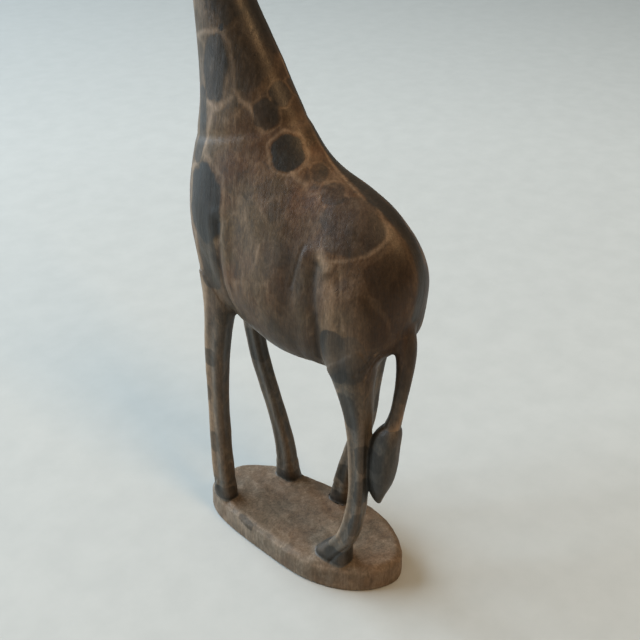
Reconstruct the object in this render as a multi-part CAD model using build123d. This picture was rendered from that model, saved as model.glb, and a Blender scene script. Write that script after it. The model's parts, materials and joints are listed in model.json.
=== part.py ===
"""A carved wooden giraffe standing on an oval plinth, in millimetres.

The giraffe faces -Y and its left side is +X.  +Z is up, and the origin is the centre of the
plinth's underside.  Trunk and neck are one fan of cross sections that turns from level at the
neck to upright at the belly; legs, tail and head are lofts of their own, cut where they meet.
"""

import os
from math import cos, pi, sin

from build123d import *

# ---- driving dimensions ----------------------------------------------------------------
PLINTH_HEIGHT = 20.0
PLINTH_EDGE_RADIUS = 5.0
PLINTH_OUTLINE = [        # (x, y) round the rim, blunter at the front than an ellipse
    (2, -84), (20, -79), (28.5, -62), (33.5, -36), (37, -4), (38, 27), (31, 53),
    (15, 73), (-5, 80), (-23, 66), (-36, 42), (-39, 10), (-36, -30), (-27, -62), (-14, -79),
]

RING_POINTS = 16          # spline points round each cross section
TRUNK_ROUNDNESS = 2.1     # exponent of the trunk's superellipse sections, 2 is an ellipse
LEG_ROUNDNESS = 3.0       # the legs are knife-cut, so squarer
TAIL_ROUNDNESS = 2.0
TUFT_ROUNDNESS = 2.6
HEAD_ROUNDNESS = 2.2

NECK_CUT_FRONT = (-92.0, 296.0)   # (y, z) where the neck's lower face meets the throat line
NECK_CUT_BACK = (2.0, 322.0)      # (y, z) where it meets the mane line

PEG_GLUE_GAP = 0.05
SEAT_DEPTH = 10.0         # room cut clear of the skull above each glued joint
HORN_ROOT = (7.0, -73.0, 491.0)   # left horn; the right one mirrors it
HORN_LEAN = (0.22, 0.30, 1.0)     # out, back and up
HORN_RADIUS = 2.7
HORN_TOP_RADIUS = 2.3
HORN_KNOB_RADIUS = 3.6
HORN_LENGTH = 17.0
HORN_PEG_RADIUS = 1.7
HORN_PEG_LENGTH = 7.0
EAR_ROOT = (11.5, -66.0, 485.0)   # left ear; the right one mirrors it
EAR_LEAN = (1.0, 0.42, 0.42)
EAR_BREADTH = (0.0, -1.0, 0.4)    # direction of the ear's width
EAR_LENGTH = 25.0
EAR_WIDTH = 12.0
EAR_THICKNESS = 4.4
EAR_THINNING = 0.45       # share of the thickness that the ear loses where it narrows to nothing
EAR_PEG_RADIUS = 1.5
EAR_PEG_LENGTH = 6.0
# The ear's outline from root to tip: (share of its length, share of its width).
EAR_OUTLINE = [(0.0, 0.30), (0.2, 0.72), (0.45, 1.0), (0.75, 0.70), (1.0, 0.16)]

# Trunk and neck: (throat or belly y, z), (mane or back y, z), half width, fullness.
# Fullness above 0 makes the section wider towards the belly than towards the back.
TRUNK_STATIONS = [
    ((-98, 460), (-67, 473), 11.4, 0.00),
    ((-93, 434), (-60, 447), 12.4, 0.00),
    ((-87, 407), (-52, 420), 13.4, 0.00),
    ((-82, 379), (-44, 393), 15.2, 0.00),
    ((-79, 350), (-30, 368), 18.2, 0.05),
    ((-79, 320), (-16, 344), 22.0, 0.08),
    ((-84, 290), (-1.5, 322), 26.5, 0.12),
    ((-89, 258), (13, 304), 31.0, 0.15),
    ((-88, 226), (34, 293), 34.0, 0.15),
    ((-78, 201), (55, 285), 35.5, 0.12),
    ((-56, 183), (72, 272), 37.2, 0.10),
    ((-23, 170), (83, 254), 38.0, 0.08),
    ((14, 167.5), (86, 233), 35.0, 0.05),
    ((44, 173), (84, 212), 28.0, 0.00),
    ((65, 184), (80, 198), 14.0, 0.00),
]

# Legs, from the plinth up: (x, y, z), half width across, half width fore and aft.
FRONT_LEFT_STATIONS = [
    ((21.8, -62.5, 20), 6.6, 9.0),
    ((22.8, -61.6, 32), 6.4, 8.2),
    ((24, -61.5, 52), 6.5, 7.4),
    ((24, -62, 85), 6.3, 6.8),
    ((24, -62, 120), 6.4, 7.0),
    ((24, -60, 150), 7.2, 8.2),
    ((22.6, -57.5, 178), 8.6, 10.1),
    ((18.2, -57.9, 205), 12.0, 14.0),
    ((15, -61.5, 232), 12.0, 15.0),
    ((11, -66, 255), 8.0, 11.0),
]
FRONT_RIGHT_STATIONS = [
    ((-26, -40.5, 20), 7.4, 9.8),
    ((-25.5, -41, 32), 6.6, 8.0),
    ((-25.8, -44, 52), 5.8, 6.4),
    ((-24.4, -52.5, 85), 5.3, 5.7),
    ((-24, -64, 120), 5.8, 6.4),
    ((-24.3, -70.4, 150), 6.0, 6.6),
    ((-22.8, -69, 178), 8.2, 9.4),
    ((-19, -66, 205), 12.0, 14.0),
    ((-16, -66, 232), 12.0, 15.0),
    ((-11, -67, 255), 8.0, 11.0),
]
HIND_LEFT_STATIONS = [
    ((21.8, 41.8, 20), 9.0, 13.5),
    ((22.6, 44.5, 28), 8.2, 11.4),
    ((24.4, 51, 39), 6.8, 8.4),
    ((26, 57.5, 52), 6.4, 7.2),
    ((25.8, 63.4, 80), 5.8, 6.0),
    ((26, 65, 105), 5.4, 5.9),
    ((25.8, 64.6, 130), 6.0, 6.8),
    ((25.5, 62.7, 152), 7.9, 8.4),
    ((24.2, 58, 175), 11.2, 12.6),
    ((21.2, 53, 200), 15.0, 20.5),
    ((19, 51, 226), 16.0, 23.4),
    ((11, 52, 250), 10.0, 16.0),
]
HIND_RIGHT_STATIONS = [
    ((-29, 9, 20), 6.8, 8.8),
    ((-28, 11, 32), 6.4, 7.6),
    ((-26, 16, 52), 6.2, 7.0),
    ((-26, 24, 80), 6.0, 6.4),
    ((-25, 31, 105), 6.2, 6.8),
    ((-24.6, 34.5, 130), 6.6, 7.0),
    ((-24.2, 37, 152), 7.4, 7.8),
    ((-23.2, 41, 175), 10.2, 11.2),
    ((-21, 47, 200), 15.5, 21.0),
    ((-18, 50, 226), 16.0, 23.0),
    ((-11, 52, 250), 10.0, 15.0),
]

# Tail strip and tuft, from the rump down: (x, y, z), half width, half thickness.
TAIL_STATIONS = [
    ((1, 70, 226), 8.0, 8.0),
    ((3, 79, 206), 8.0, 8.0),
    ((6, 83.5, 188), 6.4, 6.2),
    ((10, 84.5, 172), 5.0, 5.0),
    ((13, 84, 158), 4.8, 4.8),
    ((16, 82, 146), 5.8, 5.8),
]
TUFT_STATIONS = [
    ((16, 82, 146), 5.8, 5.8),
    ((17.2, 80.4, 139), 8.6, 8.4),
    ((18.4, 79, 128), 9.2, 9.2),
    ((18.8, 77.9, 112), 8.8, 9.0),
    ((19, 76.4, 98), 6.6, 7.0),
    ((18.2, 75.2, 88), 3.6, 3.8),
    ((16.8, 75, 81.5), 1.4, 1.4),
]

# Head, from the poll to the lips, along an axis that dips forward:
# (y, z) of the centre, half width, half height.
HEAD_STATIONS = [
    ((-60, 484), 6.0, 7.0),
    ((-66, 482), 11.5, 12.5),
    ((-77, 478), 14.0, 15.5),
    ((-91, 471), 13.0, 13.5),
    ((-106, 462), 10.0, 10.5),
    ((-121, 453), 8.4, 8.4),
    ((-133, 446), 8.6, 7.6),
    ((-141, 441.5), 6.0, 5.0),
]
HEAD_DIP = 31.0           # degrees that the head's axis points below level


# ---- helpers ---------------------------------------------------------------------------
def ring(plane, half_x, half_y, roundness=2.0, fullness=0.0):
    """A closed superellipse wire on a plane, wider towards -y when fullness is above 0."""
    points = []
    for i in range(RING_POINTS):
        angle = 2 * pi * i / RING_POINTS
        s, c = sin(angle), cos(angle)
        x = half_x * abs(s) ** (2 / roundness) * (1 if s > 0 else -1)
        y = -half_y * abs(c) ** (2 / roundness) * (1 if c > 0 else -1)
        x *= 1 + fullness * c
        points.append(plane.from_local_coords((x, y, 0)))
    return Wire([Edge.make_spline(points, periodic=True)])


def fan_loft(stations, roundness):
    """A loft through sections that each span from a front point to a back point."""
    rings = []
    for front, back, half_width, fullness in stations:
        low, high = Vector(0, *front), Vector(0, *back)
        span = high - low
        normal = Vector(1, 0, 0).cross(span)
        plane = Plane(origin=(low + high) / 2, x_dir=(1, 0, 0), z_dir=normal)
        rings.append(ring(plane, half_width, span.length / 2, roundness, fullness))
    return Solid.make_loft(rings)


def limb_loft(stations, roundness):
    """A loft through level sections, from one end of a limb to the other."""
    rings = [
        ring(Plane(origin=centre), half_x, half_y, roundness)
        for centre, half_x, half_y in stations
    ]
    return Solid.make_loft(rings)


def only_solid(shape):
    """The largest solid of a boolean result."""
    return max(shape.solids(), key=lambda s: s.volume)


# A round solid whose end lies on its plane stands above it or below it.
ABOVE = (Align.CENTER, Align.CENTER, Align.MIN)
BELOW = (Align.CENTER, Align.CENTER, Align.MAX)


# ---- pieces ----------------------------------------------------------------------------
def make_plinth():
    """The oval plinth, a little wider under the hind feet, with a rounded rim."""
    outline = Wire([Edge.make_spline([Vector(x, y, 0) for x, y in PLINTH_OUTLINE], periodic=True)])
    slab = extrude(Face(outline), PLINTH_HEIGHT)
    rims = slab.edges().group_by(Axis.Z)[-1]
    return only_solid(fillet(rims, PLINTH_EDGE_RADIUS))


def make_trunk():
    return fan_loft(TRUNK_STATIONS, TRUNK_ROUNDNESS)


def split_trunk(trunk):
    """The torso and the neck, either side of one flat face at the shoulders."""
    front, back = Vector(0, *NECK_CUT_FRONT), Vector(0, *NECK_CUT_BACK)
    up = Vector(1, 0, 0).cross(back - front)
    if up.Z < 0:
        up = up * -1
    cut = Plane(origin=(front + back) / 2, x_dir=(1, 0, 0), z_dir=up)
    neck = only_solid(trunk.split(cut, keep=Keep.TOP))
    torso = only_solid(trunk.split(cut, keep=Keep.BOTTOM))
    return torso, neck


def make_leg(stations, torso):
    return only_solid(limb_loft(stations, LEG_ROUNDNESS) - torso)


def make_head():
    """The skull and muzzle, before the sockets are drilled."""
    dip = HEAD_DIP * pi / 180
    along = Vector(0, -cos(dip), -sin(dip))
    rings = []
    for (y, z), half_x, half_y in HEAD_STATIONS:
        plane = Plane(origin=(0, y, z), x_dir=(1, 0, 0), z_dir=along)
        rings.append(ring(plane, half_x, half_y, HEAD_ROUNDNESS))
    return Solid.make_loft(rings)


def horn_plane(side):
    """Where a horn stands on the skull: side is 1 for the left one and -1 for the right one."""
    x, y, z = HORN_ROOT
    out, back, up = HORN_LEAN
    return Plane(origin=(side * x, y, z), z_dir=(side * out, back, up))


def ear_plane(side):
    """Where an ear grows from the skull: side is 1 for the left one and -1 for the right one."""
    x, y, z = EAR_ROOT
    out, back, up = EAR_LEAN
    return Plane(origin=(side * x, y, z), x_dir=EAR_BREADTH, z_dir=(side * out, back, up))


def peg(radius, length):
    """A peg below its plane, sunk 1 mm into the piece above it."""
    return Pos(0, 0, 1) * Cylinder(radius, length + 1, align=BELOW)


def socket(plane, peg_radius, peg_length, seat_radius):
    """What is cut from the skull for one horn or ear: the peg's hole, and room for the root."""
    hole = Cylinder(peg_radius + PEG_GLUE_GAP, peg_length + 1, align=BELOW)
    seat = Cylinder(seat_radius, SEAT_DEPTH, align=ABOVE)
    return plane * (hole + seat)


def make_horn(side):
    """A short horn with a rounded knob, on a glued peg."""
    shaft = Cone(HORN_RADIUS, HORN_TOP_RADIUS, HORN_LENGTH, align=ABOVE)
    knob = Pos(0, 0, HORN_LENGTH) * Sphere(HORN_KNOB_RADIUS)
    return horn_plane(side) * (shaft + knob + peg(HORN_PEG_RADIUS, HORN_PEG_LENGTH))


def make_ear(side):
    """A leaf-shaped ear on a glued peg; its local z runs from root to tip."""
    rings = []
    for along, wide in EAR_OUTLINE:
        half_width = EAR_WIDTH / 2 * wide
        half_thickness = EAR_THICKNESS / 2 * (1 - EAR_THINNING * (1 - wide))
        rings.append(ring(Plane(origin=(0, 0, EAR_LENGTH * along)), half_width, half_thickness))
    return ear_plane(side) * (Solid.make_loft(rings) + peg(EAR_PEG_RADIUS, EAR_PEG_LENGTH))


# ---- assembly --------------------------------------------------------------------------
def build():
    trunk = make_trunk()
    torso, neck = split_trunk(trunk)
    head = make_head()
    neck = only_solid(neck - head)
    for side in (1, -1):
        head = head - socket(horn_plane(side), HORN_PEG_RADIUS, HORN_PEG_LENGTH, HORN_RADIUS)
        head = head - socket(ear_plane(side), EAR_PEG_RADIUS, EAR_PEG_LENGTH, EAR_WIDTH / 2)
    nodes = {
        "plinth": make_plinth(),
        "torso": torso,
        "neck": neck,
        "head": only_solid(head),
        "front_left_leg": make_leg(FRONT_LEFT_STATIONS, torso),
        "front_right_leg": make_leg(FRONT_RIGHT_STATIONS, torso),
        "hind_left_leg": make_leg(HIND_LEFT_STATIONS, torso),
        "hind_right_leg": make_leg(HIND_RIGHT_STATIONS, torso),
        "left_horn": make_horn(1),
        "right_horn": make_horn(-1),
        "left_ear": make_ear(1),
        "right_ear": make_ear(-1),
    }
    tail = limb_loft(TAIL_STATIONS, TAIL_ROUNDNESS) - torso
    tuft = limb_loft(TUFT_STATIONS, TUFT_ROUNDNESS) - nodes["hind_left_leg"]
    nodes["tail"] = only_solid(tail - nodes["hind_left_leg"])
    nodes["tail_tuft"] = only_solid(tuft)
    return nodes


os.makedirs("parts", exist_ok=True)
for name, shape in build().items():
    export_step(shape, f"parts/{name}.step")
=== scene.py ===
"""A carved and burnt wooden giraffe on its oval plinth, on a plain pale floor.

The giraffe is one block of wood with glued-in ears and horns, so its CAD solids are read as
distance fields, blended into one surface, knife-worked, and cut again into one piece per node.
The giraffe faces -Y, its left side is +X, and lengths are millimetres until a mesh is made.
"""
import json
from functools import cache
from math import radians

import bmesh
import bpy
import numpy as np
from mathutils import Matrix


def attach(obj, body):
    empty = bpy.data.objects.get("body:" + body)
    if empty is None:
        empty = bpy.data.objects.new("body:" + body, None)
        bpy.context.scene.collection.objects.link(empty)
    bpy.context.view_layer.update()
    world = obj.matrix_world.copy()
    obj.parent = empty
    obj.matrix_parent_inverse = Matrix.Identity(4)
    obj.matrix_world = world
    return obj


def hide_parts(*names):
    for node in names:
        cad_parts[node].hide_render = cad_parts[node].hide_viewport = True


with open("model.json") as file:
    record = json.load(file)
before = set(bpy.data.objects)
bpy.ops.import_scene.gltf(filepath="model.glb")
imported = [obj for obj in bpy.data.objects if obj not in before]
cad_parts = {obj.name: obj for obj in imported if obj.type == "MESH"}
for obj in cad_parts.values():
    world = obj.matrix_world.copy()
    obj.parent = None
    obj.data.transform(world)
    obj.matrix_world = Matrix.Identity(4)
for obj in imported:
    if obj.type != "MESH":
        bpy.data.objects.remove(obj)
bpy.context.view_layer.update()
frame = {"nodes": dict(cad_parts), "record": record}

import openvdb
from mathutils import Vector

MM = 0.001
SEED = 11

# ---- how each node is carved -----------------------------------------------------------------
BAND = 5.0                # distance fields are only kept this near a surface
SOFTEN = 0.9              # rounding of the whole surface before it is knife-worked
SMOOTH = 3.0              # rounding of the flush joints, and the scale of ridges and hollows
BLEND = {                 # radius of the hollow where a node grows out of the ones before it
    "torso": 0.0, "neck": 0.0, "head": 4.0,
    "front_left_leg": 2.5, "front_right_leg": 2.5, "hind_left_leg": 3.0, "hind_right_leg": 3.0,
    "plinth": 3.0, "tail": 3.0, "tail_tuft": 1.0,
    "left_horn": 0.8, "right_horn": 0.8, "left_ear": 0.8, "right_ear": 0.8,
}
FLUSH_JOINTS = [("torso", "neck"), ("neck", "head")]
THIN = ("left_horn", "right_horn", "left_ear", "right_ear", "tail")      # kept out of that smoothing
COARSE, MIDDLE, FINE = 1.0, 0.7, 0.5      # mesh fineness
VOXEL = {
    "torso": COARSE, "neck": COARSE, "plinth": COARSE,
    "front_left_leg": MIDDLE, "front_right_leg": MIDDLE, "hind_left_leg": MIDDLE, "hind_right_leg": MIDDLE,
    "tail": MIDDLE, "tail_tuft": MIDDLE,
    "head": FINE, "left_horn": FINE, "right_horn": FINE, "left_ear": FINE, "right_ear": FINE,
}
MARGIN = 6.0              # room round a node for what the knife work moves outwards
FLUSH_REACH = 7.0         # smoothing is full at a flush joint, and 0.6 away from it as fields end at BAND


# ---- noise on numpy arrays -------------------------------------------------------------------
FAR = 9.0                 # further, in cells, than any nearest centre can be


def lattice(cell, seed):
    """A repeatable pseudo-random number from 0 to 1 for each integer cell."""
    h = cell[:, 0] * 374761393 + cell[:, 1] * 668265263 + cell[:, 2] * 2147483647 + seed * 974634777
    h = (h ^ (h >> 13)) * 1274126177
    h = h ^ (h >> 16)
    return (h & 0xFFFFFF) / float(0xFFFFFF)


def noise(points, size, seed=0):
    """Smooth value noise from -1 to 1; size is one length or three."""
    p = points / np.asarray(size, dtype=float)
    cell = np.floor(p).astype(np.int64)
    t = p - cell
    t = t * t * (3 - 2 * t)
    total = np.zeros(len(p))
    for corner in np.ndindex(2, 2, 2):
        weight = np.prod(np.where(corner, t, 1 - t), axis=1)
        total += weight * lattice(cell + np.array(corner), SEED + seed)
    return total * 2 - 1


def cells(points, size, seed=0):
    """Scattered cells: distance to the nearest centre, gap to the next one, and a number per cell."""
    p = points / np.asarray(size, dtype=float)
    home = np.floor(p).astype(np.int64)
    first, second, value = np.full(len(p), FAR), np.full(len(p), FAR), np.zeros(len(p))
    for corner in np.ndindex(3, 3, 3):
        cell = home + np.array(corner) - 1
        jitter = np.stack([lattice(cell, SEED + seed + k) for k in (1, 2, 3)], axis=1)
        offset = cell + jitter - p
        distance = np.sqrt(np.einsum("ij,ij->i", offset, offset))
        closer = distance < first
        second = np.where(closer, first, np.minimum(second, distance))
        value = np.where(closer, jitter[:, 0], value)
        first = np.minimum(first, distance)
    return first, second - first, value


def facets(points, size, seed=0):
    """Shallow knife strokes side by side: -0.5 mid-stroke, 0.5 on the ridge between two."""
    return np.clip(cells(points, size, seed)[0], 0, 1) - 0.5


def smooth_step(low, high, x):
    """0 below low, 1 above high, and a smooth rise between them."""
    t = np.clip((x - low) / (high - low), 0, 1)
    return t * t * (3 - 2 * t)


def to_path(points, path):
    """Distance of each point from a polyline."""
    best = np.full(len(points), 1e9)
    path = np.asarray(path, dtype=float)
    for a, b in zip(path[:-1], path[1:]):
        along = np.clip((points - a) @ (b - a) / ((b - a) @ (b - a)), 0, 1)
        offset = points - a - along[:, None] * (b - a)
        best = np.minimum(best, np.einsum("ij,ij->i", offset, offset))
    return np.sqrt(best)


def bump(distance, width):
    """1 on a path, falling smoothly to 0 about two widths away."""
    return np.exp(-(distance / width) ** 2)


def rounded_box(across, up, power):
    """1 all along the edge of a box with round corners, whose sides are at 1."""
    return (np.abs(across) ** power + np.abs(up) ** power) ** (1 / power)


def other_flank(path, forward=0.0):
    """The same path on the right flank, moved forward by some millimetres."""
    return [(-x, y - forward, z) for x, y, z in path]


def on_flank(path, flank):
    """The path itself for flank 1, or its mirror image a little further forward for flank -1."""
    return path if flank == 1 else other_flank(path, RIGHT_SHIFT)


# ---- distance fields -------------------------------------------------------------------------
def node_solid(name):
    """(corner points in millimetres, triangles) of a CAD node."""
    mesh = frame["nodes"][name].data
    mesh.calc_loop_triangles()
    points = np.empty(len(mesh.vertices) * 3)
    mesh.vertices.foreach_get("co", points)
    triangles = np.empty(len(mesh.loop_triangles) * 3, dtype=np.int32)
    mesh.loop_triangles.foreach_get("vertices", triangles)
    return points.reshape(-1, 3) / MM, triangles.reshape(-1, 3).astype(np.uint32)


SOLIDS = {name: node_solid(name) for name in BLEND}


@cache
def level_set(name, voxel):
    """The node's distance field as a sparse grid, in grid steps."""
    points, triangles = SOLIDS[name]
    return openvdb.FloatGrid.createLevelSetFromPolygons(
        (points / voxel).astype(np.float32), triangles=triangles, halfWidth=BAND / voxel)


def field(name, voxel, low, shape):
    """The signed distance from a node on a block of grid points, in millimetres."""
    points, _ = SOLIDS[name]
    block = np.full(shape, BAND, dtype=np.float32)
    reach = BAND + voxel
    near = points.min(axis=0) - reach < (low + shape) * voxel
    far = points.max(axis=0) + reach > low * voxel
    if near.all() and far.all():
        level_set(name, voxel).copyToArray(block, ijk=tuple(int(v) for v in low))
        block *= voxel
    return block


def blended(a, b, radius):
    """Union of two fields, with a hollow of that radius where they meet."""
    if radius == 0:
        return np.minimum(a, b)
    h = np.maximum(radius - np.abs(a - b), 0) / radius
    return np.minimum(a, b) - h * h * radius / 4


def softened(block, sigma):
    """A Gaussian blur of a field; sigma is in grid steps."""
    reach = int(np.ceil(2.5 * sigma))
    steps = np.arange(-reach, reach + 1)
    weights = np.exp(-steps ** 2 / (2 * sigma * sigma))
    weights /= weights.sum()
    for axis in range(3):
        padding = [(reach, reach) if k == axis else (0, 0) for k in range(3)]
        padded = np.pad(block, padding, mode="edge")
        block = sum(
            w * np.take(padded, range(i, i + block.shape[axis]), axis=axis)
            for i, w in enumerate(weights)
        )
    return block.astype(np.float32)


def sampled(block, at):
    """Trilinear samples of a field at points given in grid steps."""
    base = np.clip(np.floor(at).astype(int), 0, np.array(block.shape) - 2)
    t = at - base
    total = np.zeros(len(at))
    for corner in np.ndindex(2, 2, 2):
        weight = np.prod(np.where(corner, t, 1 - t), axis=1)
        i, j, k = (base + np.array(corner)).T
        total += weight * block[i, j, k]
    return total


def vertex_normals(points, quads):
    """Area-weighted normals."""
    p = points[quads]
    face = np.cross(p[:, 2] - p[:, 0], p[:, 3] - p[:, 1])
    normals = np.zeros_like(points)
    for k in range(4):
        for axis in range(3):
            normals[:, axis] += np.bincount(quads[:, k], face[:, axis], len(points))
    return normals / np.maximum(np.linalg.norm(normals, axis=1, keepdims=True), 1e-12)


def cut(columns, triangles, values):
    """Keeps the part of a triangle mesh where values < 0. columns holds every per-point number."""
    inside = values < 0
    count = inside[triangles].sum(axis=1)
    kept = [triangles[count == 3]]
    extra, crossing = [], {}

    def between(a, b):
        key = (min(a, b), max(a, b))
        if key not in crossing:
            share = values[a] / (values[a] - values[b])
            crossing[key] = len(columns) + len(extra)
            extra.append(columns[a] * (1 - share) + columns[b] * share)
        return crossing[key]

    made = []
    for tri in triangles[(count == 1) | (count == 2)]:
        flags = inside[tri]
        odd = int(np.argmax(flags)) if flags.sum() == 1 else int(np.argmin(flags))
        a, b, c = (int(tri[(odd + k) % 3]) for k in range(3))
        ab, ac = between(a, b), between(a, c)
        if flags.sum() == 1:
            made.append((a, ab, ac))
        else:
            made.append((ab, b, c))
            made.append((ab, c, ac))
    kept.append(np.array(made, dtype=triangles.dtype).reshape(-1, 3))
    triangles = np.concatenate(kept)
    columns = np.concatenate([columns, np.array(extra).reshape(-1, columns.shape[1])])
    used, index = np.unique(triangles, return_inverse=True)
    return columns[used], index.reshape(-1, 3)


# ---- creases, spots and lines of the left flank ----------------------------------------------
RIGHT_SHIFT = 4           # the right flank's pattern sits this much further forward
THIGH_CREASE = [(32, 34, 249), (34, 34, 242), (36, 35, 233), (37, 37, 222), (37, 39, 211),
                (36, 39, 198), (33, 38, 188)]
FLANK_NICK = [(31, 24, 259), (33, 22, 251), (36, 20, 242), (37, 18, 232)]
ELBOW_CREASE = [(34, -43, 255), (34, -42, 242), (34, -43, 233), (34, -43, 224), (32, -42, 212),
                (30, -40, 201), (28, -37, 194)]
THIGH_STROKES = [
    [(32, 70, 190), (28, 73, 196), (23, 74, 201)],
    [(30, 70, 183), (26, 73, 190), (21, 75, 197)],
    [(34, 66, 186), (31, 69, 196), (26, 72, 203)],
]
SPINE = [(-6, -22, 353), (-5, -15, 340), (-3, -6, 325), (-3, 12, 304), (0, 24, 297), (4, 39, 291),
         (7, 53, 284), (6, 66, 276), (5, 74, 268), (4, 81, 257), (4, 85, 239), (7, 84, 220)]
NECK_SPINE = [(-6, -22, 353), (-5, -36, 380), (-4, -48, 405), (-2, -60, 435), (0, -66, 470)]
EYE = (12.4, -86, 477.5)
MOUTH = [(8.2, -123, 448.2), (8.6, -131, 443.8), (6.6, -138, 440.2), (3, -141, 439.4), (0, -141.6, 439.2)]
EAR_HOLLOW = [(17.6, -64.5, 485.6), (23, -62, 488), (29.6, -59.4, 490.6)]
# Creases with a raised shoulder on either side: path, how much further forward it runs on the
# right flank, depth, width, then the shoulders' height, distance from the crease and width.
CREASES = [
    (THIGH_CREASE, 3, 0.9, 2.8, 0.7, 9, 5),
    (ELBOW_CREASE, 0, 0.8, 2.4, 0.5, 7, 4),
]
# Plain grooves: path, how much further forward it runs on the right flank, depth, width.
GROOVES = [
    (MOUTH, 0, 0.9, 0.8), (EAR_HOLLOW, 0, 1.2, 2.0), (FLANK_NICK, 3, 0.5, 1.2),
    *[(stroke, RIGHT_SHIFT, 0.7, 1.3) for stroke in THIGH_STROKES],
]
# Rounded swellings and flat places: centre, radius, height.
SWELLS = [
    ((11, -82, 484.5), 4.5, 1.0), ((11.5, -79, 467), 7, 0.9), ((9.5, -100, 463), 6, -1.0),
    ((8.5, -112, 452), 6, 0.6), ((6.8, -137.5, 447), 2.6, 0.8), ((4.4, -141.5, 446.2), 1.3, -1.5),
    ((38, -6, 222), 24, 3.2), ((36, 22, 238), 13, -1.3), ((34, -36, 262), 16, -0.8),
    ((32, 52, 262), 18, 0.8), ((37, 48, 228), 10, 0.8), ((22, 74, 240), 20, 1.2),
    ((33, -58, 258), 14, 0.8), ((20, -20, 305), 20, -0.8),
]
STRIPE_HALF = 5.5         # half width of the dark stripe along mane and back

# Spots burnt into the wood: centre, half width, half height, darkness.
SPOTS = [
    # The first spot, the oval on the neck, is kept less dark as a painted sheen.
    ((21, -53, 348), 10, 20, 0.66), ((31, -57, 264), 17, 27, 0.95), ((15, -1, 306), 11, 11, 0.95),
    ((15, -17, 326), 8, 9.5, 0.60), ((6, -13, 337), 7, 7, 0.65), ((14, -46, 390), 12, 16, 0.55),
    ((16, -49, 372), 1.6, 2.0, 1.00), ((10, 20, 299), 6, 8, 0.40), ((13, 32, 288), 8, 7, 0.50),
    ((19, 50, 274), 20, 17, 0.42), ((18, -28, 298), 7, 14, 0.25), ((10, -34, 374), 18, 40, 0.35),
    ((13, -86, 477.5), 2.9, 2.5, 0.97), ((4.4, -141.5, 446.2), 1.6, 1.3, 0.95),
]
# Long burnt bands: path, half width, darkness.
BANDS = [
    ([(19, -64, 331), (22, -63, 318), (24, -63, 304), (25, -67, 292)], 5.0, 0.70),
    ([(32, -57, 239), (31, -55, 220), (29, -55, 213)], 11.0, 0.65),
    ([(37, 50, 205), (35, 52, 186)], 9.5, 0.85),
    ([(4, 88, 208), (9, 90, 190), (12, 86, 168)], 5.0, 0.45),
    ([(16, -70, 458), (8, -82, 462)], 4.0, 0.30),
    ([(33, -37, 19), (34, -27, 16)], 3.5, 0.55),
]
# Soft brown darkenings, partly stain and partly painted shade: path, width, strength.
STAINS_AND_SHADES = [
    ([(33, 16, 254), (36, 16, 242), (38, 17, 223), (38, 20, 203), (36, 25, 193)], 19.0, 0.62),
    # painted shade under the belly
    ([(36, -18, 200), (37, 0, 192), (36, 20, 190)], 14.0, 0.35),
    # painted shade over the rump, which turns away from the window (this line and the next)
    ([(6, 72, 272), (8, 80, 258), (16, 80, 246)], 20.0, 0.60),
    ([(22, 77, 246), (25, 75, 232), (24, 74, 218)], 25.0, 0.78),
    # painted shade down the back of the neck, which turns away from the window
    ([(-1, -38, 385), (2, -29, 365), (6, -18, 344), (8, -9, 327)], 14.0, 0.90),
    ([(8, 84, 212), (12, 85, 187), (15, 86, 168), (20, 85, 150)], 8.0, 0.40),
    ([(20, 66, 200), (22, 70, 180)], 12.0, 0.40),
    # painted shade along the thigh crease, the elbow crease and the flank nick
    (THIGH_CREASE, 3.5, 0.70), (ELBOW_CREASE, 3.0, 0.50), (FLANK_NICK, 2.0, 0.50),
]
# Pale lines left between the spots, and some painted highlights and sheen: path, width, strength.
LINES = [
    (SPINE, 1.1, 1.00),
    ([(17, 87, 150), (13, 90, 156), (20, 86, 144)], 2.5, 0.60),
    ([(31, 35, 255), (30, 43, 254), (27, 52, 256), (22, 62, 260), (16, 68, 265), (11, 70, 269),
      (8, 67, 274), (5, 60, 281), (3, 52, 286), (2, 41, 290)], 1.3, 0.80),
    # painted highlight on the ridge of the hip
    ([(30, 37, 255), (31, 42, 251)], 3.5, 0.75),
    ([(33, 45, 240), (35, 47, 229), (36, 48, 219), (36, 49, 213)], 5.0, 0.55),
    ([(30, 50, 254), (33, 54, 238), (36, 58, 216)], 1.2, 0.50),
    ([(13, -72, 363), (17, -62, 368), (16, -49, 370), (16, -43, 363), (18, -40, 352), (20, -37, 338),
      (20, -33, 333), (19, -27, 330), (19, -17, 317)], 1.8, 0.75),
    ([(19, -64, 329), (22, -56, 327), (23, -49, 325), (22, -44, 329), (21, -38, 334)], 2.2, 0.80),
    ([(23, -52, 324), (24, -55, 314), (26, -58, 301), (25, -66, 289), (23, -74, 281)], 2.4, 0.80),
    ([(18, 4, 297), (19, 9, 293), (18, 15, 291)], 2.0, 0.70),
    ([(12, 10, 300), (9, 5, 307)], 2.2, 0.60),
    ([(29, -66, 240), (33, -54, 236), (34, -47, 234)], 2.0, 0.80),
    ([(24, -74, 283), (27, -71, 264), (28, -70, 248), (27, -71, 231), (28, -68, 218)], 1.4, 0.60),
    # painted highlight on the belly
    ([(35, -8, 251), (37, -9, 239)], 1.4, 0.60),
    # painted highlights down the left faces of the near foreleg and near hind leg, which face the window
    ([(29, -64, 205), (30, -65, 150), (30, -65, 100), (29, -66, 45)], 4.5, 0.85),
    ([(33, 53, 170), (32, 57, 150), (31, 60, 105), (31, 59, 80), (31, 51, 50)], 2.4, 0.60),
    ([(-12, 20, 300), (-10, 50, 285), (-12, 75, 265)], 1.4, 0.50),
    # painted sheen on the flank and on the shoulder
    ([(35, -24, 264), (37, -14, 240)], 12.0, 0.26),
    ([(28, -44, 300), (24, -42, 316)], 9.0, 0.20),
    ([(34, -20, 10), (30, -50, 12)], 5.0, 0.35),
    *[(stroke, 0.8, 0.70) for stroke in THIGH_STROKES],
]
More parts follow.
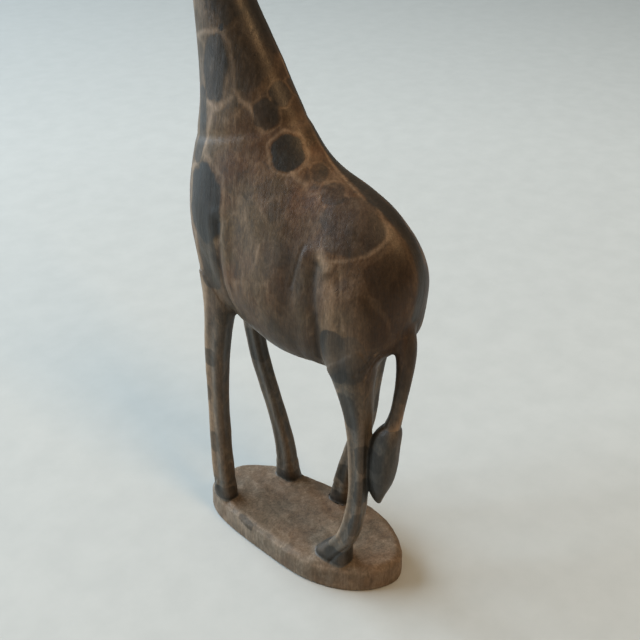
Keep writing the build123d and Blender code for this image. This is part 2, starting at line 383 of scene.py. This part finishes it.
# Dark patches on the legs: leg, lowest and highest z, where they face and how far round they
# reach (degrees from the left side towards the tail), darkness.
PATCHES = [
    ("hind_left_leg", 143, 171, 5, 50, 0.75), ("hind_left_leg", 112, 134, 52, 46, 0.85),
    ("hind_left_leg", 83, 107, 62, 68, 0.85), ("hind_left_leg", 54, 78, 52, 46, 0.85),
    ("hind_left_leg", 18, 38, 0, 180, 0.85), ("hind_left_leg", 180, 214, 20, 75, 0.60),
    ("hind_left_leg", 95, 140, -120, 60, 0.55), ("hind_left_leg", 48, 80, -130, 60, 0.55),
    ("hind_right_leg", 146, 172, 160, 80, 0.60), ("hind_right_leg", 112, 136, 150, 80, 0.70),
    ("hind_right_leg", 76, 100, 190, 80, 0.60), ("hind_right_leg", 44, 66, 60, 150, 0.80),
    ("hind_right_leg", 18, 34, 0, 180, 0.70),
    ("front_left_leg", 141, 155, -10, 50, 0.55), ("front_left_leg", 106, 124, -60, 60, 0.50),
    ("front_left_leg", 66, 84, -20, 60, 0.45), ("front_left_leg", 18, 34, 0, 180, 0.90),
    # the first patch below is painted shade down the back face of the near foreleg, which is turned from
    # the window
    ("front_left_leg", 52, 204, 88, 62, 0.25), ("front_left_leg", 36, 56, 95, 50, 0.40),
    ("front_left_leg", 120, 150, 200, 60, 0.60), ("front_left_leg", 70, 98, 210, 60, 0.60),
    ("front_right_leg", 118, 146, 40, 100, 0.65), ("front_right_leg", 160, 196, 40, 120, 0.70),
    ("front_right_leg", 60, 88, 80, 60, 0.40), ("front_right_leg", 80, 108, 200, 70, 0.60),
    ("front_right_leg", 18, 30, 0, 180, 0.75), ("front_right_leg", 40, 62, 190, 70, 0.60),
]
PLINTH_TOP = 20.0
# Cloven hooves: centre on the plinth, then the groove between the toes from the ground up.
HOOVES = [
    ((21.8, -62.5), [(26, -73, 23), (28, -69, 30), (29, -65, 38)]),
    ((-26, -40.5), [(-25, -52, 23), (-25, -50, 29), (-25, -51, 38)]),
    ((21.8, 41.8), [(31, 45, 22), (30, 50, 30), (30, 57, 39), (30, 62, 46)]),
    ((-29, 9), [(-28, -3, 23), (-28, 0, 29), (-28, 4, 40)]),
]
MARKS = ("burn", "line", "stain_and_shade", "hollow")      # what the mesh carries at each point
RINGED = 19.0             # spots narrower than this have a pale edge all round
THROAT_TOP = 372.0        # the set pattern of the neck ends here, and a looser one goes on
KNEE = 150.0              # the legs' facets fade out above this height


@cache
def leg_axis(name):
    """(heights, x, y) down the middle of a leg."""
    points, _ = SOLIDS[name]
    heights = np.arange(points[:, 2].min() + 4, points[:, 2].max() - 4, 4.0)
    slices = [points[np.abs(points[:, 2] - z) < 6] for z in heights]
    middles = np.array([(s.min(axis=0) + s.max(axis=0)) / 2 for s in slices])
    return heights, middles[:, 0], middles[:, 1]


LEGS = ("front_left_leg", "front_right_leg", "hind_left_leg", "hind_right_leg")


def from_leg(points, name):
    """(distance, angle) of each point about the middle of a leg."""
    heights, xs, ys = leg_axis(name)
    x = points[:, 0] - np.interp(points[:, 2], heights, xs)
    y = points[:, 1] - np.interp(points[:, 2], heights, ys)
    return np.hypot(x, y), np.arctan2(y, x)


def swell(points):
    """How far the broad swellings and flat places move each point out, in millimetres."""
    push = np.zeros(len(points))
    for (cx, cy, cz), radius, height in SWELLS:
        for flank in (1, -1):
            push += height * bump(np.linalg.norm(points - (cx * flank, cy, cz), axis=1), radius)
    return push


def knife_work(points, normals):
    """How far the knife's cuts move each point out, in millimetres."""
    z = points[:, 2]
    push = np.zeros(len(points))

    # thighs and belly stand out either side of the creases
    for path, forward, depth, width, rise, away, spread in CREASES:
        for crease in (path, other_flank(path, forward)):
            d = to_path(points, crease)
            push += rise * bump(d - away, spread) - depth * bump(d, width)
    for path, forward, depth, width in GROOVES:
        for groove in (path, other_flank(path, forward)):
            push -= depth * bump(to_path(points, groove), width)
    push += 0.4 * bump(to_path(points, SPINE), 5)

    # a round eyeball in a ring-shaped groove
    for flank in (1, -1):
        d = np.linalg.norm(points - (EYE[0] * flank, EYE[1], EYE[2]), axis=1)
        push += 1.3 * bump(d, 2.6) - 0.7 * bump(d - 4.0, 0.8)

    # broad unevenness, then shallow facets of the knife, stronger on the legs
    body = smooth_step(PLINTH_TOP + 6, PLINTH_TOP + 16, z)
    legs = body * (1 - smooth_step(KNEE, KNEE + 50, z))
    push += body * 0.50 * noise(points, (26, 26, 40), 1)
    push += body * 0.16 * noise(points, (9, 9, 22), 2)
    push += body * 0.35 * facets(points, (13, 13, 34), 3)
    push += legs * 0.45 * facets(points, (7, 7, 20), 7)
    for name in LEGS:
        distance, angle = from_leg(points, name)
        near = legs * (1 - smooth_step(10, 14, distance))
        push -= near * 0.40 * np.cos(4 * angle)

    # hooves spread at the ground, with a rim above and a split between the toes
    uneven = noise(points, 8, 43)
    for (foot_x, foot_y), split in HOOVES:
        around = 1 - smooth_step(17, 22, np.hypot(points[:, 0] - foot_x, points[:, 1] - foot_y))
        push += around * 0.5 * bump(z - 27, 5) * (1 - np.abs(normals[:, 2]))
        push -= around * (0.3 + 0.3 * uneven) * bump(z - 38, 2.5)
        push -= 1.1 * bump(to_path(points, split), 1.2)

    # the plinth's top is gouged, most of all round the feet, and its wall is cut in upright strokes
    plinth = 1 - smooth_step(PLINTH_TOP + 2, PLINTH_TOP + 7, z)
    top = plinth * smooth_step(0.5, 0.9, normals[:, 2])
    wall = plinth * (1 - smooth_step(0.4, 0.8, np.abs(normals[:, 2]))) * smooth_step(0.5, 3, z)
    near_feet = sum(bump(np.hypot(points[:, 0] - x, points[:, 1] - y), 17) for (x, y), _ in HOOVES)
    push += top * (0.7 * facets(points, (9, 14, 30), 13) + 0.5 * noise(points, (16, 24, 30), 17))
    push += top * near_feet * (0.5 + 0.9 * noise(points, 7, 29))
    push += wall * (0.7 * facets(points, (9, 10, 26), 19) + 0.5 * noise(points, (14, 14, 30), 23))
    rim = plinth * bump(normals[:, 2] - 0.65, 0.25)
    push += rim * (0.7 * noise(points, (10, 10, 10), 41) - 0.5)
    return push


def burnt(points, normals):
    """Three numbers from 0 to 1: how far each point is burnt, how pale it is left by pale lines and
    painted highlights, and how much darker it is made by stain and painted shade.
    """
    x, y, z = points.T
    wobble = 0.10 * noise(points, 9, 31) + 0.05 * noise(points, 3, 32)
    keep = np.ones(len(points))
    line = np.zeros(len(points))
    light = np.ones(len(points))
    for flank in (1, -1):
        for (cx, cy, cz), half_width, half_height, darkness in SPOTS:
            cx, cy = cx * flank, cy if flank == 1 else cy - RIGHT_SHIFT
            level, rise = np.hypot(x - cx, y - cy) / half_width, (z - cz) / half_height
            corners = 0.06 * np.cos(6 * np.arctan2(rise, np.sign(y - cy) * level) + cz)
            reach = rounded_box(level, rise, 2.3) + corners + 0.8 * wobble
            keep *= 1 - darkness * (1 - smooth_step(0.90, 1.0, reach))
            if half_width < RINGED:
                line = np.maximum(line, darkness * 0.65 * bump(reach - 1.12, 0.08))
        for path, half_width, darkness in BANDS:
            d = to_path(points, on_flank(path, flank)) / half_width + wobble
            keep *= 1 - darkness * (1 - smooth_step(0.88, 1.0, d))
        for path, width, strength in LINES:
            d = to_path(points, on_flank(path, flank))
            line = np.maximum(line, min(1.2 * strength, 1) * bump(d * (1 + 2 * wobble), width))
        for path, width, strength in STAINS_AND_SHADES:
            d = to_path(points, on_flank(path, flank))
            light *= 1 - strength * bump(d * (1 + wobble), width)

    # the dark stripe along mane and back lies just right of its pale edge
    for path in (SPINE, NECK_SPINE):
        d = to_path(points, [(px - STRIPE_HALF - 1.5, py, pz) for px, py, pz in path])
        keep *= 1 - 0.80 * (1 - smooth_step(0.85, 1.05, d / STRIPE_HALF + wobble))
    line = np.maximum(line, 0.5 * bump(to_path(points, NECK_SPINE), 1.6))

    for name, low, high, facing, reach, darkness in PATCHES:
        distance, angle = from_leg(points, name)
        turn = np.abs((angle - np.radians(facing) + np.pi) % (2 * np.pi) - np.pi) / np.radians(reach)
        middle, half = (low + high) / 2, (high - low) / 2
        edge = rounded_box(turn, (z - middle) / half, 2.4) + 2.2 * wobble
        inside = (1 - smooth_step(0.86, 1.0, edge)) * (1 - smooth_step(16, 22, distance))
        keep *= 1 - darkness * inside * smooth_step(PLINTH_TOP + 0.5, PLINTH_TOP + 2.5, z)

    # elsewhere a looser net of patches
    _, gap, value = cells(points, (25, 27, 36), 37)
    upper_neck = smooth_step(THROAT_TOP, THROAT_TOP + 15, z)
    right_side = smooth_step(0, -10, x)
    loose = np.clip(0.30 + 0.6 * upper_neck + 0.5 * right_side, 0, 1) * smooth_step(185, 215, z)
    gap = gap + wobble
    keep *= 1 - loose * 0.62 * smooth_step(0.10, 0.20, gap) * smooth_step(0.15, 0.85, value)
    line = np.maximum(line, loose * 0.42 * (1 - smooth_step(0.04, 0.13, gap)))
    return 1 - keep, line * (0.35 + 0.65 * keep), 1 - light


# ---- pieces ----------------------------------------------------------------------------------
def carve(name):
    """Per-point columns (place, normal, MARKS) and triangles of one node's surface."""
    voxel = VOXEL[name]
    points, _ = SOLIDS[name]
    low = np.floor((points.min(axis=0) - MARGIN) / voxel).astype(int)
    high = np.ceil((points.max(axis=0) + MARGIN) / voxel).astype(int) + 1
    shape = high - low

    fields = {other: field(other, voxel, low, shape) for other in BLEND}
    total = fields["torso"].copy()
    for other, radius in BLEND.items():
        total = blended(total, fields[other], radius)
    sharp = softened(total, SOFTEN / voxel)
    smooth = softened(total, SMOOTH / voxel)
    total = sharp
    clear_of_thin = smooth_step(0.5, 4.0, np.minimum.reduce([fields[other] for other in THIN]))
    for one, two in FLUSH_JOINTS:
        near = bump(fields[one] - fields[two], FLUSH_REACH)
        near *= 1 - smooth_step(BAND - 2, BAND - 0.5, np.minimum(fields[one], fields[two]))
        near *= clear_of_thin
        total = total * (1 - near) + smooth * near

    grid = openvdb.FloatGrid(BAND)
    grid.copyFromArray(total.astype(np.float32), ijk=(0, 0, 0))
    at, quads = grid.convertToQuads()
    at = at.astype(float)
    mask = sampled(fields[name], at)
    mask -= sampled(np.minimum.reduce([fields[other] for other in BLEND if other != name]), at)
    hollow = sampled(smooth - sharp, at)
    if name == "plinth":
        mask[(low[2] + at[:, 2]) * voxel < PLINTH_TOP - 3] = -1

    place = (at + low) * voxel
    normals = vertex_normals(place, quads)
    push = knife_work(place, normals)
    place = place + normals * (push + swell(place))[:, None]
    lowest = 0.0 if name == "plinth" else PLINTH_TOP - 4
    place[:, 2] = np.maximum(place[:, 2], lowest)
    normals = vertex_normals(place, quads)
    burn, line, stain_and_shade = burnt(place, normals)

    triangles = np.concatenate([quads[:, [0, 1, 2]], quads[:, [0, 2, 3]]]).astype(np.int64)
    # the last mark is the surface's curvature, used for paler ridges and for painted shade in the hollows
    marks = np.stack([burn, line, stain_and_shade, hollow + 0.7 * push], axis=1)
    return cut(np.concatenate([place, normals, marks], axis=1), triangles, mask)


def make_piece(name):
    """A closed mesh object for one node, with smooth shading that runs on across its cuts."""
    columns, triangles = carve(name)
    mesh = bpy.data.meshes.new(name + "_carved")
    mesh.from_pydata((columns[:, :3] * MM).tolist(), [], triangles.tolist())
    shape = bmesh.new()
    shape.from_mesh(mesh)
    open_edges = [e for e in shape.edges if e.is_boundary]
    bmesh.ops.holes_fill(shape, edges=open_edges, sides=0)
    shape.to_mesh(mesh)
    shape.free()
    mesh.polygons.foreach_set("use_smooth", [True] * len(mesh.polygons))
    mesh.update()
    mesh.normals_split_custom_set_from_vertices(columns[:, 3:6].tolist())
    for index, mark in enumerate(MARKS):
        layer = mesh.attributes.new(mark, "FLOAT", "POINT")
        layer.data.foreach_set("value", columns[:, 6 + index].astype(np.float32))
    piece = bpy.data.objects.new(name + "_carved", mesh)
    bpy.context.scene.collection.objects.link(piece)
    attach(piece, "root")
    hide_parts(name)
    return piece


# ---- materials -------------------------------------------------------------------------------
class Graph:
    """Short calls for building one material's node tree."""

    def __init__(self, name):
        self.material = bpy.data.materials.new(name)
        self.material.use_nodes = True
        self.tree = self.material.node_tree
        self.shader = self.tree.nodes["Principled BSDF"]
        self.coordinates = self.tree.nodes.new("ShaderNodeTexCoord").outputs["Object"]

    def put(self, socket, value):
        """Links a socket to another one, or gives it a number or colour."""
        if isinstance(value, bpy.types.NodeSocket):
            self.tree.links.new(value, socket)
        elif isinstance(value, tuple) and socket.type == "RGBA":
            socket.default_value = (*value, 1.0)
        else:
            socket.default_value = value

    def mark(self, name):
        """A number that the mesh carries at each point."""
        node = self.tree.nodes.new("ShaderNodeAttribute")
        node.attribute_name = name
        return node.outputs["Fac"]

    def outward(self):
        """Distance from the middle of the plinth's underside in millimetres."""
        node = self.tree.nodes.new("ShaderNodeVectorMath")
        node.operation = "LENGTH"
        self.put(node.inputs[0], self.coordinates)
        return self.math("DIVIDE", node.outputs["Value"], MM)

    def height(self):
        """Height above the ground in millimetres."""
        node = self.tree.nodes.new("ShaderNodeSeparateXYZ")
        self.put(node.inputs[0], self.coordinates)
        return self.math("DIVIDE", node.outputs["Z"], MM)

    def noise(self, size, detail=3.0, roughness=0.6, distortion=0.0):
        """Noise from 0 to 1 whose features are size (x, y, z) millimetres."""
        mapping = self.tree.nodes.new("ShaderNodeMapping")
        self.put(mapping.inputs["Vector"], self.coordinates)
        mapping.inputs["Scale"].default_value = [1 / (MM * s) for s in size]
        node = self.tree.nodes.new("ShaderNodeTexNoise")
        self.put(node.inputs["Vector"], mapping.outputs["Vector"])
        node.inputs["Scale"].default_value = 1.0
        node.inputs["Detail"].default_value = detail
        node.inputs["Roughness"].default_value = roughness
        node.inputs["Distortion"].default_value = distortion
        return node.outputs["Fac"]

    def ramp(self, value, low, high, start=0.0, end=1.0):
        """Value mapped from low..high to start..end, and held there."""
        node = self.tree.nodes.new("ShaderNodeMapRange")
        self.put(node.inputs["Value"], value)
        for name, number in (("From Min", low), ("From Max", high), ("To Min", start), ("To Max", end)):
            self.put(node.inputs[name], number)
        return node.outputs["Result"]

    def math(self, operation, a, b):
        """The result of one Math node."""
        node = self.tree.nodes.new("ShaderNodeMath")
        node.operation = operation
        self.put(node.inputs[0], a)
        self.put(node.inputs[1], b)
        return node.outputs[0]

    def mix(self, share, a, b, blend="MIX"):
        """Colour a turned into colour b by a share from 0 to 1."""
        node = self.tree.nodes.new("ShaderNodeMix")
        node.data_type = "RGBA"
        node.blend_type = blend
        self.put(node.inputs["Factor"], share)
        self.put(node.inputs[6], a)
        self.put(node.inputs[7], b)
        return node.outputs[2]

    def bump(self, height, depth, below=None):
        """A bump of that depth in millimetres on top of another."""
        node = self.tree.nodes.new("ShaderNodeBump")
        node.inputs["Strength"].default_value = 1.0
        node.inputs["Distance"].default_value = depth * MM
        self.put(node.inputs["Height"], height)
        if below is not None:
            self.put(node.inputs["Normal"], below)
        return node.outputs["Normal"]

    def finish(self, colour, roughness, normal):
        """The finished material."""
        self.put(self.shader.inputs["Base Color"], colour)
        self.put(self.shader.inputs["Roughness"], roughness)
        self.put(self.shader.inputs["Normal"], normal)
        return self.material


# Base colours, linear red, green and blue.
RED_BROWN = (0.091, 0.045, 0.020)
GREY_BROWN = (0.078, 0.050, 0.024)
TAN = (0.232, 0.160, 0.102)
AMBER = (0.056, 0.032, 0.010)
UMBER = (0.032, 0.017, 0.006)
ASH = (0.094, 0.082, 0.066)
CHAR = (0.025, 0.024, 0.021)
DRY_BROWN = (0.166, 0.116, 0.078)
DRY_GREY = (0.150, 0.117, 0.084)
DRY_TAN = (0.29, 0.225, 0.165)
BURNT_BROWN = (0.052, 0.044, 0.036)
BURNT_GREY = (0.046, 0.044, 0.038)
BURNT_TAN = (0.130, 0.105, 0.082)
FLOOR_GREY = (0.450, 0.462, 0.445)
FLOOR_WHITE = (0.472, 0.484, 0.466)
FLOOR_FAR = (0.10, 0.105, 0.10)           # keeps the floor under the window light from glaring
# Where a stain comes in: heights from which and to which it grows, and its shares there.
NECK_STAIN = (315, 365, 0.0, 0.85)
LEG_STAIN = (215, 165, 0.0, 0.88)


def wood(name, red, grey, pale, gloss=0.42, dullness=0.32, soot=0.50, stained=False):
    """Waxed wood with upright grain: two browns in blotches, pale lines and burnt spots.

    Stained wood turns amber up the neck and grey down the legs.
    """
    g = Graph(name)
    streaks = g.noise((1.1, 1.1, 15), detail=4.0, roughness=0.65)
    strands = g.noise((3.2, 3.2, 30), detail=4.0, distortion=0.5)
    blotches = g.noise((8, 8, 13), detail=6.0, roughness=0.65, distortion=0.8)
    clouds = g.noise((34, 34, 46), detail=3.0)
    specks = g.noise((1.6, 1.6, 3.0), detail=3.0)
    pores = g.ramp(g.noise((0.55, 0.55, 6.0), detail=1.0), 0.66, 0.74, 1.0, 0.62)

    # two browns in broad clouds, the stain, then pale and sooty blotches
    colour = g.mix(g.ramp(clouds, 0.40, 0.60), red, grey)
    if stained:
        colour = g.mix(g.ramp(g.height(), *NECK_STAIN), colour, AMBER)
        colour = g.mix(g.ramp(g.height(), *LEG_STAIN), colour, ASH)
    colour = g.mix(g.ramp(blotches, 0.48, 0.68, 0.0, 0.45), colour, pale)
    colour = g.mix(g.ramp(blotches, 0.46, 0.30, 0.0, soot), colour, CHAR)

    # what the mesh carries: stain and painted shade, pale lines and painted highlights, burnt spots, paler
    # ridges, and painted shade in the hollows
    # brown darkening from the mesh, partly stain and partly painted shade
    colour = g.mix(g.mark("stain_and_shade"), colour, UMBER)
    paleness = g.math("MULTIPLY", g.mark("line"), g.ramp(blotches, 0.28, 0.52, 0.55, 1.0))
    colour = g.mix(paleness, colour, pale)
    burn = g.math("MULTIPLY", g.mark("burn"), g.ramp(strands, 0.28, 0.55, 0.86, 1.0))
    colour = g.mix(burn, colour, CHAR)
    colour = g.mix(g.ramp(g.mark("hollow"), 0.20, 1.0, 0.0, 0.34), colour, pale)
    # painted shade: the hollows, the creases and the ground round the feet turn darker, where shade falls
    colour = g.mix(g.ramp(g.mark("hollow"), -0.3, -1.6, 0.0, 0.70), colour, CHAR)

    # the grain makes all of it lighter and darker
    shade = pores
    for grain, contrast in ((streaks, 0.18), (strands, 0.12), (specks, 0.18)):
        shade = g.math("MULTIPLY", shade, g.ramp(grain, 0.30, 0.70, 1 - contrast, 1 + contrast))
    tint = g.tree.nodes.new("ShaderNodeCombineColor")
    for channel in tint.inputs:
        g.put(channel, shade)
    colour = g.mix(1.0, colour, tint.outputs["Color"], "MULTIPLY")

    # wax is thicker on some strands and missing in the hollows
    wax = g.math("ADD", strands, g.math("MULTIPLY", specks, 0.5))
    roughness = g.ramp(wax, 0.5, 1.0, dullness, dullness + 0.20)
    roughness = g.math("ADD", roughness, g.ramp(g.mark("hollow"), -0.2, -1.0, 0.0, 0.35))
    g.shader.inputs["Specular IOR Level"].default_value = gloss
    normal = g.bump(pores, 0.08, g.bump(streaks, 0.08))
    normal = g.bump(specks, 0.07, normal)
    normal = g.bump(strands, 0.16, normal)
    return g.finish(colour, roughness, normal)


SLOTS = {s["node"]: s["material_slot"] for s in frame["record"]["subparts"]}
MATERIALS = {
    "carved_wood": wood("carved_wood", RED_BROWN, GREY_BROWN, TAN, stained=True),
    "plinth_wood": wood("plinth_wood", DRY_BROWN, DRY_GREY, DRY_TAN, gloss=0.25, dullness=0.55, soot=0.30),
    "dark_wood": wood("dark_wood", BURNT_BROWN, BURNT_GREY, BURNT_TAN),
}
pieces = {name: make_piece(name) for name in BLEND}
for name, piece in pieces.items():
    piece.data.materials.append(MATERIALS[SLOTS[name]])


# ---- floor, light and camera -----------------------------------------------------------------
FLOOR_HALF = 12.0
AIM = (0, 0, 0.2)                         # what the lights point at
CAMERA_PLACE = (0.43873, 0.36519, 0.51536)
CAMERA_TURN = (radians(60), 0, radians(128.86))
LENS = 56.25


def make_floor():
    """A plain pale floor, darker a metre and more away."""
    corners = [(x * FLOOR_HALF, y * FLOOR_HALF, 0) for x, y in ((-1, -1), (1, -1), (1, 1), (-1, 1))]
    mesh = bpy.data.meshes.new("floor")
    mesh.from_pydata(corners, [], [(0, 1, 2, 3)])
    floor = bpy.data.objects.new("floor", mesh)
    bpy.context.scene.collection.objects.link(floor)
    g = Graph("pale_floor")
    dust = g.noise((30, 30, 30), detail=5.0)
    colour = g.mix(g.ramp(dust, 0.35, 0.65), FLOOR_GREY, FLOOR_WHITE)
    colour = g.mix(g.ramp(g.outward(), 900, 3500, 0.0, 0.75), colour, FLOOR_FAR)
    g.shader.inputs["Specular IOR Level"].default_value = 0.15
    mesh.materials.append(g.finish(colour, g.ramp(dust, 0.3, 0.7, 0.75, 0.85), g.bump(dust, 0.05)))


def softbox(name, place, size, watts, colour):
    """A rectangular light aimed at the carving."""
    light = bpy.data.lights.new(name, "AREA")
    light.shape = "RECTANGLE"
    light.size, light.size_y = size
    light.energy = watts
    light.color = colour
    lamp = bpy.data.objects.new(name, light)
    lamp.location = place
    lamp.rotation_euler = (Vector(AIM) - Vector(place)).to_track_quat("-Z", "Y").to_euler()
    bpy.context.scene.collection.objects.link(lamp)


def make_lights():
    """A soft ceiling, a warm lamp behind the giraffe and a cool window in front of it."""
    softbox("ceiling", place=(0.0, 0.0, 3.0), size=(6.0, 6.0), watts=34.0, colour=(1.0, 0.96, 0.86))
    softbox("lamp", place=(0.6, 3.1, 3.3), size=(1.3, 1.3), watts=66.0, colour=(1.0, 0.64, 0.33))
    softbox("window", place=(1.7, -5.3, 2.8), size=(7.4, 4.9), watts=860.0, colour=(0.70, 0.85, 1.0))
    world = bpy.data.worlds.new("world")
    world.use_nodes = True
    background = world.node_tree.nodes["Background"]
    background.inputs["Color"].default_value = (0.95, 0.88, 0.74, 1)
    background.inputs["Strength"].default_value = 0.25
    bpy.context.scene.world = world


def make_camera():
    """Behind and above the giraffe's left side."""
    camera = bpy.data.cameras.new("camera")
    camera.lens = LENS
    camera.sensor_width = 36.0
    camera.clip_start = 0.01
    body = bpy.data.objects.new("camera", camera)
    body.location = CAMERA_PLACE
    body.rotation_euler = CAMERA_TURN
    bpy.context.scene.collection.objects.link(body)
    bpy.context.scene.camera = body


make_floor()
make_lights()
make_camera()
bpy.context.scene.view_settings.view_transform = "Standard"
bpy.context.scene.view_settings.look = "Medium High Contrast"
